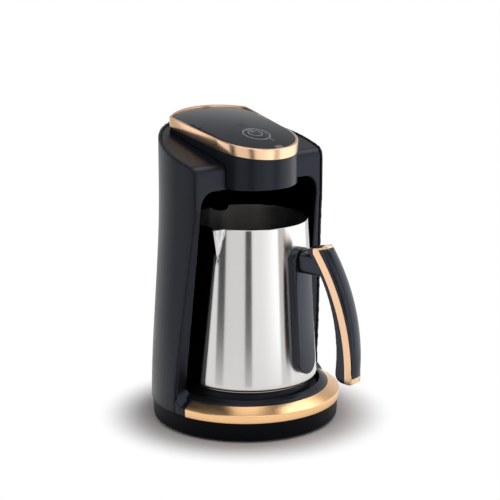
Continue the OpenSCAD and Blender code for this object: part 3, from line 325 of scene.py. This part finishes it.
def copy_of(node, finish):
    """A tidy copy of a CAD solid, which stands in its place."""
    mesh = bmesh.new()
    mesh.from_mesh(frame["nodes"][node].data)
    bmesh.ops.remove_doubles(mesh, verts=mesh.verts, dist=SAME_POINT)
    bmesh.ops.dissolve_limit(mesh, angle_limit=FLAT, verts=mesh.verts, edges=mesh.edges)
    bmesh.ops.recalc_face_normals(mesh, faces=mesh.faces)
    data = bpy.data.meshes.new(node + "_soft")
    mesh.to_mesh(data)
    mesh.free()
    obj = piece(node + "_soft", data, body_of_node[node], finish)
    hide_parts(node)
    return obj


# %% [markdown]
# ## Two ways to soften an edge
#
# A Bevel modifier cuts a narrow rounded strip along each sharp edge. It is quick, and right for
# plates, rings and lids. Where several curved faces meet, a bevel tears. There a Remesh modifier
# rebuilds the whole piece on a grid of small cubes, and a few rounds of smoothing melt its edges
# by about the width of one cube.

# %% Two ways to soften an edge
BEVEL_STEPS = 2
MELT_ROUNDS = 5


def round_edges(obj, width):
    """Rounds the sharp edges of a piece, as a mould or a polishing wheel does."""
    bevel = obj.modifiers.new("rounded edges", "BEVEL")
    bevel.width = width * MM
    bevel.segments = BEVEL_STEPS
    bevel.limit_method = "ANGLE"
    bevel.angle_limit = CORNER
    bevel.use_clamp_overlap = False
    bevel.harden_normals = True


def melt_edges(obj, grid):
    """Rebuilds a piece on a fine grid and smooths it: every edge gets a soft radius."""
    remesh = obj.modifiers.new("fine grid", "REMESH")
    remesh.mode = "VOXEL"
    remesh.voxel_size = grid * MM
    remesh.use_smooth_shade = True
    smooth = obj.modifiers.new("soft radius", "SMOOTH")
    smooth.factor = 0.5
    smooth.iterations = MELT_ROUNDS


# %% [markdown]
# ## The large mouldings
#
# The shell, the front frame, the pan and the handle are moulded with generous radii, and their
# curved faces meet at odd angles, so they are melted. A finer grid keeps more of the shape and
# costs more faces: the small pieces of the handle get the finest.

# %% The large mouldings
for node, grid, finish in (
        # the base pan gets the painted-shade plastic, dark for the shade at the foot
        ("base_pan", 0.8, pan_abs_painted_shade), ("front_frame", 0.7, frame_abs),
        ("tower_shell", 0.8, casing_abs), ("grip_inner_shell", 0.4, grip_pbt),
        ("handle_bracket", 0.4, grip_pbt)):
    melt_edges(copy_of(node, finish), grid)
    print("  melted on a grid of", grid, "mm")

# %% [markdown]
# ## The plainer pieces
#
# The rest of the outside has the right form already and only needs its edges broken: by half a
# millimetre on mouldings, and by less on thin rings, seals and the glossy panel, whose tool is
# made sharper. The light ring is seen unlit, as a grey diffuser round the button.

# %% The plainer pieces
for node, width, finish in (
        # the bay's lining and roof get the painted-shade black
        ("deck", 0.5, casing_abs), ("cavity_lining", 0.4, lining_painted_shade),
        ("bay_roof", 0.4, lining_painted_shade), ("head_housing", 0.6, frame_abs),
        ("hot_plate", 0.4, plate_metal), ("plate_seal", 0.2, silicone),
        ("cord_gland", 0.3, rubber_epdm), ("foot_ring", 0.3, rubber_epdm),
        ("jug_base", 0.2, spun_steel), ("grip_gold_inlay", 0.4, rose_gold),
        # the foam sensor pod in the bay gets the painted-shade black too
        ("grip_outer_shell", 0.6, grip_pbt), ("foam_sensor_pod", 0.3, lining_painted_shade),
        ("light_ring", 0.1, switch_pbt), ("top_panel", 0.3, panel_pc),
        ("power_button", 0.3, panel_pc)):
    round_edges(copy_of(node, finish), width)
    print("  edges rounded by", width, "mm")

# %% [markdown]
# ## The inner pieces
#
# Screws, boards, leads and the heater are closed in, so their CAD solids stay as they are. They
# still get their own finishes, because the model can be taken apart.

# %% Finishes of the inner pieces
inner_finishes = (
    (zinc_steel, ("deck_screws", "tower_screws", "plate_screws", "board_screws", "head_screws",
                  "panel_screws", "jug_studs", "grip_pins", "foam_sensor_nut")),
    (sheath_steel, ("heating_element",)),
    (spun_steel, ("heat_shield",)),
    (steatite, ("thermal_cutout",)),
    (probe_steel, ("plate_probe",)),
    (solder_mask, ("power_board", "control_board")),
    (phenolic, ("power_board_parts", "buzzer", "switch_plunger")),
    (switch_pbt, ("button_switch",)),
    (lead_red, ("heater_leads",)),
    (lead_grey, ("control_lead",)),
    (lens_red, ("foam_sensor_lens",)))
for finish, nodes in inner_finishes:
    for node in nodes:
        solid = frame["nodes"][node].data
        solid.materials.clear()
        solid.materials.append(finish)
    print(f"{finish.name}: {', '.join(nodes)}")

# %% [markdown]
# ## Sweeping a new skin
#
# Bright metal shows every flat in a curve, and the curves of a CAD solid are cut into flats. So
# the gold band, the gold trim and the jug are made anew from their sizes. Each is a sweep: a
# small section stands at many stations along a path, and faces join each section to the next.
# Blender's Screw modifier could turn them, but not with a lip or along the head's plan, so these
# helpers make arcs, join the sections, and turn a section round the Z axis.

# %% Sweeping a new skin
def arc(centre, r, a0, a1, steps):
    """Points on an arc, with angles in degrees."""
    turns = [radians(a0 + (a1 - a0) * i / steps) for i in range(steps + 1)]
    return [(centre[0] + r * cos(a), centre[1] + r * sin(a)) for a in turns]


def skin_faces(stations, size, loop=True, closed=True):
    """Faces between the sections, of size points each, that stand at the stations of a sweep.

    With loop, the last station joins the first. With closed, each section is a closed outline.
    """
    faces = []
    for s in range(stations if loop else stations - 1):
        here, there = s * size, (s + 1) % stations * size
        for k in range(size if closed else size - 1):
            m = (k + 1) % size
            faces.append((here + k, there + k, there + m, here + m))
    return faces


def turned(section, angles, stands_out=None):
    """Points of a section of (radius, height) at each angle round the Z axis.

    stands_out(angle, height), where it is given, says how far the skin stands out there.
    """
    points = []
    for a in angles:
        for r, z in section:
            reach = r + (stands_out(a, z) if stands_out else 0.0)
            points.append(Vector((reach * cos(a), reach * sin(a), z)))
    return points


print("a square section swept round 4 stations:", len(skin_faces(4, 4)), "faces")


# %% [markdown]
# ## From points to a piece
#
# The points are worked out in the drawing's millimetres, which are easy to check against the real
# thing. They are turned to metres only here, where the mesh is made.

# %% From points to a piece
def make_piece(name, points, faces, body, finish):
    """A piece of points, in millimetres, and faces."""
    mesh = bpy.data.meshes.new(name)
    mesh.from_pydata([Vector(p) * MM for p in points], [], faces)
    mesh.validate()
    return piece(name, mesh, body, finish)



# %% [markdown]
# ## The path of the head's band
#
# The band is bent round the head, so its path is the head's plan: a round nose, sides that widen
# to the back in a slow curve, two small corners and an arc behind. Even angles are enough for the
# arcs, and a smooth step from 0 to 1 widens the sides without a kink.

# %% The path of the head's band
nose_r, nose_y, nose_steps = 35.0, 8.2, 120
rear_half_w, rear_r, rear_steps = 38.2, 59.4, 40
rear_corner_r, corner_steps, side_steps = 3.2, 8, 24


def head_outline():
    """Plan of the head's wall, anticlockwise from the left end of the nose."""
    corner_x = rear_half_w - rear_corner_r
    corner_y = sqrt((rear_r - rear_corner_r) ** 2 - corner_x ** 2)
    corner_turn = degrees(atan2(corner_y, corner_x))
    nose = arc((0, -nose_y), nose_r, -180, 0, nose_steps)
    side = []
    for i in range(1, side_steps):
        t = i / side_steps
        widened = t * t * (3 - 2 * t)
        side.append((nose_r + (rear_half_w - nose_r) * widened,
                     -nose_y + (corner_y + nose_y) * t))
    side += arc((corner_x, corner_y), rear_corner_r, 0, corner_turn, corner_steps)
    rear = arc((0, 0), rear_r, corner_turn, 180 - corner_turn, rear_steps)[1:-1]
    return nose + side + rear + [(-x, y) for x, y in reversed(side)]


def grown(path, distance):
    """A closed path pushed out along its own normals."""
    out = []
    for i, (x, y) in enumerate(path):
        (x0, y0), (x1, y1) = path[i - 1], path[(i + 1) % len(path)]
        length = sqrt((x1 - x0) ** 2 + (y1 - y0) ** 2)
        out.append((x + distance * (y1 - y0) / length, y - distance * (x1 - x0) / length))
    return out


print("head's plan:", len(head_outline()), "points")

# %% [markdown]
# ## The head's band
#
# The section is a flat strip whose outer edges are rounded. It stands 0.6 mm proud of the wall
# and is let in behind. The strip lies on the slope of the head, so each point is lifted by the
# slope at its own Y.

# %% The head's band
band_z, head_slope, band_h = 221.8, radians(10.76), 7.9
band_proud, band_t, band_round = 0.6, 2.0, 0.6
band_foot_round, band_back_drop = 0.3, 0.1


def on_slope(x, y, rise):
    """A point of the band, at a height above its lower edge, square to the head's slope."""
    return Vector((x, y, band_z + y * tan(head_slope) + rise / cos(head_slope)))


section = arc((band_proud - band_foot_round, band_foot_round), band_foot_round, -90, 0, 4)
section += arc((band_proud - band_round, band_h - band_round), band_round, 0, 90, 8)
section += [(band_proud - band_t, band_h - band_back_drop), (band_proud - band_t, 0.0)]
paths = [grown(head_outline(), out) for out, rise in section]
stations = list(zip(*paths))
points = [on_slope(x, y, rise) for station in stations
          for (x, y), (out, rise) in zip(station, section)]
head_band = make_piece("head_band", points, skin_faces(len(stations), len(section)),
                       body_of_node["gold_head_band"], rose_gold)
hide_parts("gold_head_band")

# %% [markdown]
# ## The trim round the base
#
# The trim is a pressed hoop with a low upright wall and a slope that rises to the deck. It runs
# round the front only, from one foot of the frame to the other, so the section is turned through
# part of a circle and both of its ends are closed.

# %% The trim round the base
foot_r, pan_top = 75.0, 16.4
trim_turn, trim_steps, trim_edge, trim_wall = 78.0, 156, 0.5, 2.0
trim_top, trim_in, trim_in_z, slope_normal = 22.8, 65.65, 27.3, 64
nib_w, nib_h, nib_fall = 0.3, 0.3, 0.1

section = arc((foot_r - trim_edge, pan_top + trim_edge), trim_edge, -90, 0, 4)
section += arc((foot_r - trim_edge, trim_top - trim_edge), trim_edge, 0, slope_normal, 4)
section += [(trim_in + nib_w, trim_in_z - nib_fall), (trim_in, trim_in_z - nib_h)]
section += [(trim_in, trim_in_z - trim_wall), (foot_r - trim_wall, trim_top - trim_wall),
            (foot_r - trim_wall, pan_top)]
first, sweep = radians(-90 - trim_turn), radians(2 * trim_turn)
angles = [first + sweep * i / trim_steps for i in range(trim_steps + 1)]
n = len(section)
faces = skin_faces(len(angles), n, loop=False)
faces.append(tuple(reversed(range(n))))
faces.append(tuple(trim_steps * n + k for k in range(n)))
base_trim = make_piece("base_trim", turned(section, angles), faces,
                       body_of_node["gold_base_trim"], warm_gold)
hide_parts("gold_base_trim")

# %% [markdown]
# ## The power sign
#
# A ring with a gap, and two short strokes in the gap, are printed on the button in pale ink. It
# could be painted by a shader, but the button's face is crowned and slopes, and the sign has to
# stay crisp. So each line is a film of ink: it is drawn flat in plan, and every point is dropped
# onto the button's face, a hair above it.

# %% Ink on the button
ink = moulded("pale_grey_ink", "#9aa3ad", 0.4, grain=2.0, depth=0.0005)
ink_t, button_y, drop_height = 0.06, -12.0, 10
button_mesh = frame["nodes"]["power_button"].data
button_face = BVHTree.FromPolygons([v.co for v in button_mesh.vertices],
                                   [p.vertices for p in button_mesh.polygons])


def on_button(x, y):
    """The point of the button's face at a place from its middle, one film of ink up, in mm."""
    start = Vector((x, button_y + y, highest("power_button").z + drop_height)) * MM
    hit = button_face.ray_cast(start, Vector((0, 0, -1)))[0]
    return hit / MM + Vector((0, 0, ink_t))


def printed_line(name, pairs):
    """A film of ink between pairs of points on its right and left sides."""
    points = [on_button(x, y) for pair in pairs for x, y in pair]
    make_piece(name, points, skin_faces(len(pairs), 2, loop=False, closed=False),
               body_of_node["power_button"], ink)


print("button's face at z =", round(on_button(0, 0).z - ink_t, 2), "mm")

# %% [markdown]
# ## Printing the sign
#
# Such a sign is pad printed: a soft rubber pad picks up the ink and presses it onto the crowned
# face. The ring is 10.8 mm across with its gap to the back, and the line is 0.6 mm wide, which a
# pad printer holds easily. The ring is drawn every 6 degrees and the strokes every 1.2 mm, close
# enough for the film to follow the crown.

# %% The printed power sign
sign_r, sign_w, half_gap, sign_step = 5.4, 0.6, 35, 6
stroke_x, stroke_start, stroke_step, stroke_points = 0.9, 1.6, 1.2, 5
half_w = sign_w / 2

ring_angles = [radians(a) for a in range(90 + half_gap, 450 - half_gap + 1, sign_step)]
printed_line("sign_ring", [[((sign_r + side * half_w) * cos(a), (sign_r + side * half_w) * sin(a))
                            for side in (1, -1)] for a in ring_angles])
stroke_ys = [stroke_start + stroke_step * i for i in range(stroke_points)]
for name, middle in (("sign_stroke_left", -stroke_x), ("sign_stroke_right", stroke_x)):
    printed_line(name, [[(middle + half_w, y), (middle - half_w, y)] for y in stroke_ys])

# %% [markdown]
# ## The jug's sizes and its lip
#
# A jug is drawn from one round sheet of steel. Its wall leans in to the rim, and the pouring lip
# is pushed out of it with a tool, further and wider the nearer it comes to the rim. In plan the
# lip is a V with a round tip. The way out to it is worked out for any direction from the jug's
# axis, first to the straight sides of the V and then to its tip, and the nearer of them counts.

# %% The jug's sizes and its lip
jug_y = 4.2
jug_low_r, jug_high_r, jug_wall = 54.1, 46.4, 1.0
jug_low, jug_high = lowest("jug_body").z, highest("jug_body").z
lip_reach, lip_height, lip_turn, lip_half_turn = 7.0, 24.0, radians(-90 - 70), radians(12)
lip_tip, lip_root, lip_root_in = 3.4, 9.0, 11.0
NO_TURN = radians(0.01)


def jug_r(z):
    """Radius of the jug's outside at a height."""
    return jug_low_r + (jug_high_r - jug_low_r) * (z - jug_low) / (jug_high - jug_low)


def lip_out(turn, share):
    """How far the lip stands out at an angle from its middle, at a share of its full growth."""
    if share <= 0 or abs(turn) > share * lip_half_turn:
        return 0.0
    t = max(abs(turn) / share, NO_TURN)
    root = jug_high_r - lip_root_in
    tip = jug_high_r + lip_reach - lip_tip
    slant = asin((lip_root - lip_tip) / (tip - root))
    to_side = (root * sin(slant) + lip_root) / sin(t + slant)
    across = lip_tip ** 2 - (tip * sin(t)) ** 2
    to_tip = tip * cos(t) + sqrt(across) if across > 0 else to_side
    return share * max(0.0, min(to_side, to_tip) - jug_high_r)


def stands_out(angle, z):
    """How far the jug's wall stands out at an angle round its axis and a height."""
    turn = (angle - lip_turn + pi) % (2 * pi) - pi
    return lip_out(turn, (z - jug_high + lip_height) / lip_height)


print("lip at the rim stands out by", round(stands_out(lip_turn, jug_high), 1), "mm")

# %% [markdown]
# ## The jug's skin
#
# The sheet is one skin: from the middle of the foot up the outside, over a rolled rim, and down
# the inside to the middle of the floor. The wall is cut into many short steps, so that the lip
# grows smoothly, and 360 stations keep reflections in the steel straight.

# %% The jug's skin
foot_round, rim_r, pole_r = 3.0, 0.55, 0.5
wall_steps, round_steps, jug_turns = 44, 6, 360

wall_low, wall_high = jug_low + foot_round, jug_high - rim_r
foot_x = jug_r(wall_low) - foot_round
wall = [wall_low + (wall_high - wall_low) * i / wall_steps for i in range(1, wall_steps + 1)]
outside = arc((foot_x, wall_low), foot_round, -90, 0, round_steps)
outside += [(jug_r(z), z) for z in wall]
rim = arc((jug_high_r - rim_r, wall_high), rim_r, 20, 160, round_steps)
inside = [(jug_r(z) - jug_wall, z) for z in reversed(wall)]
inside += arc((foot_x - jug_wall, wall_low + jug_wall), foot_round, 0, -90, round_steps)
section = [(pole_r, jug_low)] + outside + rim + inside + [(pole_r, jug_low + jug_wall)]

angles = [2 * pi * i / jug_turns for i in range(jug_turns)]
points = [p - Vector((0, jug_y, 0)) for p in turned(section, angles, stands_out)]
n = len(section)
faces = skin_faces(jug_turns, n, closed=False)
faces.append(tuple(i * n for i in reversed(range(jug_turns))))
faces.append(tuple(i * n + n - 1 for i in range(jug_turns)))
jug_skin = make_piece("jug_skin", points, faces, body_of_node["jug_body"],
                      brushed_steel)
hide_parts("jug_body")

# %% [markdown]
# ## The table
#
# The machine stands on a round white table. An endless floor would be simpler, but the steel and
# the gold mirror whatever lies in front of them, and a wide white floor would wash the dark
# stripe out of the jug. So the table is kept small.

# %% The table
table_r, table_steps = 320, 72

last = 360 - 360 / table_steps
edge = arc((0, 0), table_r * MM, 0, last, table_steps - 1)
floor_mesh = bpy.data.meshes.new("floor")
floor_mesh.from_pydata([(x, y, 0) for x, y in edge], [], [tuple(range(table_steps))])
floor = bpy.data.objects.new("floor", floor_mesh)
bpy.context.scene.collection.objects.link(floor)
print("table:", 2 * table_r, "mm across")

# %% [markdown]
# ## The table's paper
#
# Near the foot the paper is a grey paper, lit and shaded like any paper, so it takes the real soft
# shadow that sets the machine down. Further out it glows white by itself, so no edge of it shows
# against the white behind. The two are mixed by the distance from the middle of the table, and
# that fade from grey paper to glowing white is painted shade as well: a darker ring round the
# foot.

# %% The table's paper
shadow_r, white_r = 76, 120

paper = bpy.data.materials.new("white_paper")
paper.use_nodes = True
tree = paper.node_tree
tree.nodes.clear()
lit = add(tree, "ShaderNodeBsdfDiffuse", {"Color": colour("#c9c3c1")})
white = add(tree, "ShaderNodeEmission", {"Color": (1, 1, 1, 1), "Strength": 1.0})
place = add(tree, "ShaderNodeTexCoord").outputs["Object"]
away = add(tree, "ShaderNodeVectorMath", {0: place}, operation="LENGTH")
# painted shade: grey near the foot fading to glowing white by distance, a darker ring round the
# machine
share = add(tree, "ShaderNodeMapRange", {
    "Value": away.outputs["Value"], "From Min": shadow_r * MM, "From Max": white_r * MM,
    "To Min": 0.0, "To Max": 1.0}, interpolation_type="SMOOTHSTEP")
both = add(tree, "ShaderNodeMixShader", {
    0: share.outputs["Result"], 1: lit.outputs[0], 2: white.outputs[0]})
add(tree, "ShaderNodeOutputMaterial", {"Surface": both.outputs[0]})
floor_mesh.materials.append(paper)
print("paper: in shadow up to", shadow_r, "mm from the middle, white from", white_r, "mm")

# %% [markdown]
# ## The room
#
# Black plastic and bright metal look like the room they stand in. This room is pale behind the
# machine and dark in front of it, where a photographer would hang black cloth, with a dimmer
# ceiling. So the black stays black, and the metal still gets bright edges. How far a direction
# points to the dark side is a dot product, and how high it points is its Z.

# %% How bright the room is in each direction
dark_azimuth = radians(-65)
room_pale, room_dark, pale_to, dark_from = 0.6, 0.03, -0.2, 0.75
ceiling_share, walls_to, ceiling_from = 0.5, 0.12, 0.55

world = bpy.data.worlds.new("studio")
bpy.context.scene.world = world
world.use_nodes = True
tree = world.node_tree
tree.nodes.clear()
toward = add(tree, "ShaderNodeTexCoord").outputs["Generated"]
facing = add(tree, "ShaderNodeVectorMath", {
    0: toward, 1: (sin(dark_azimuth), -cos(dark_azimuth), 0)}, operation="DOT_PRODUCT")
walls = add(tree, "ShaderNodeMapRange", {
    "Value": facing.outputs["Value"], "From Min": pale_to, "From Max": dark_from,
    "To Min": room_pale, "To Max": room_dark}, interpolation_type="SMOOTHSTEP")
height = add(tree, "ShaderNodeSeparateXYZ", {0: toward}).outputs["Z"]
ceiling = add(tree, "ShaderNodeMapRange", {
    "Value": height, "From Min": walls_to, "From Max": ceiling_from,
    "To Min": 1.0, "To Max": ceiling_share}, interpolation_type="SMOOTHSTEP")
level = add(tree, "ShaderNodeMath", {0: walls.outputs["Result"], 1: ceiling.outputs["Result"]},
            operation="MULTIPLY").outputs["Value"]
print("room: walls", room_pale, "pale and", room_dark, "dark, ceiling", ceiling_share, "of that")

# %% [markdown]
# ## The white behind the machine
#
# Whoever looks past the machine, or through its lens, sees plain white. Reflections see that
# white too, as far as the room is bright on that side. The Light Path node tells what kind of
# ray is asking, and rays of diffuse light still get the plain room, so the white doesn't wash
# the colours out.

# %% The white behind the machine
rays = add(tree, "ShaderNodeLightPath")
white = add(tree, "ShaderNodeBackground", {"Color": (1, 1, 1, 1), "Strength": 1.0})
fill = add(tree, "ShaderNodeBackground", {"Color": colour("#f4f7ff"), "Strength": level})
looking = add(tree, "ShaderNodeMath", {
    0: rays.outputs["Is Camera Ray"], 1: rays.outputs["Is Transmission Ray"]},
    operation="MAXIMUM")
mirrored = add(tree, "ShaderNodeMath", {0: rays.outputs["Is Glossy Ray"], 1: level},
               operation="MULTIPLY")
sees_white = add(tree, "ShaderNodeMath", {
    0: looking.outputs["Value"], 1: mirrored.outputs["Value"]}, operation="MAXIMUM")
room = add(tree, "ShaderNodeMixShader", {
    0: sees_white.outputs["Value"], 1: fill.outputs[0], 2: white.outputs[0]})
add(tree, "ShaderNodeOutputWorld", {"Surface": room.outputs[0]})
bpy.context.scene.view_settings.view_transform = "Standard"
print("world:", len(tree.nodes), "nodes")

# %% [markdown]
# ## The camera
#
# A long lens from well in front keeps the upright edges almost parallel, as in a catalogue
# picture. The camera's place is given by two angles and a distance from the point it looks at,
# which is easier to adjust than three coordinates. The same function places the lamps later.

# %% The camera
camera_azimuth, camera_elevation = -40, 14.195
camera_distance, camera_lens, film_width = 1384.6, 123.83, 36
looks_at = (23.402, 22.015, 126.137)


def stand(obj, target, azimuth, elevation, distance):
    """Stands an object off from a target, in millimetres and degrees, and turns it to face it."""
    a, e = radians(azimuth), radians(elevation)
    away = Vector((sin(a) * cos(e), -cos(a) * cos(e), sin(e)))
    bpy.context.scene.collection.objects.link(obj)
    obj.location = (Vector(target) + away * distance) * MM
    obj.rotation_mode = "QUATERNION"
    obj.rotation_quaternion = (-away).to_track_quat("-Z", "Y")
    return obj


lens = bpy.data.cameras.new("camera")
lens.lens = camera_lens
lens.sensor_width = film_width
camera = stand(bpy.data.objects.new("camera", lens), looks_at, camera_azimuth, camera_elevation,
               camera_distance)
bpy.context.scene.camera = camera
print("camera at", [round(v, 2) for v in camera.location], "m")

# %% [markdown]
# ## The lamps
#
# Soft boxes are lamps behind a large white cloth. One stands on each side of the camera, and the
# narrow dark gap between them draws the dark stripe down the middle of the jug. One at the left
# and one behind the right edge the machine with light, and two from above give the shoulders and
# the gold their sheen. A few watts are enough for each, because the cloths are large and near.

# %% The lamps
lamp_aim = (0, 0, 120)


def soft_box(name, turn, elevation, distance, width, height, power):
    """A soft box at an angle from the camera's azimuth; lengths in millimetres, power in watts."""
    lamp = bpy.data.lights.new(name, "AREA")
    lamp.shape = "RECTANGLE"
    lamp.size = width * MM
    lamp.size_y = height * MM
    lamp.energy = power
    stand(bpy.data.objects.new(name, lamp), lamp_aim, camera_azimuth + turn, elevation, distance)
    print(f"{name}: {power} W over {width * height / 1e6:.1f} square metres")


soft_box("left_box", -24, 4, 1600, 1060, 1900, 5.4)
soft_box("side_box", -75, 4, 1600, 1100, 1900, 6.5)
soft_box("right_box", 31, 4, 1600, 1520, 1900, 9.6)
soft_box("rim_box", 105, 4, 1600, 2000, 1900, 9.0)
soft_box("high_box", 118, 52, 1600, 1000, 800, 4.5)
soft_box("top_box", 0, 62, 1500, 1300, 1300, 8.5)
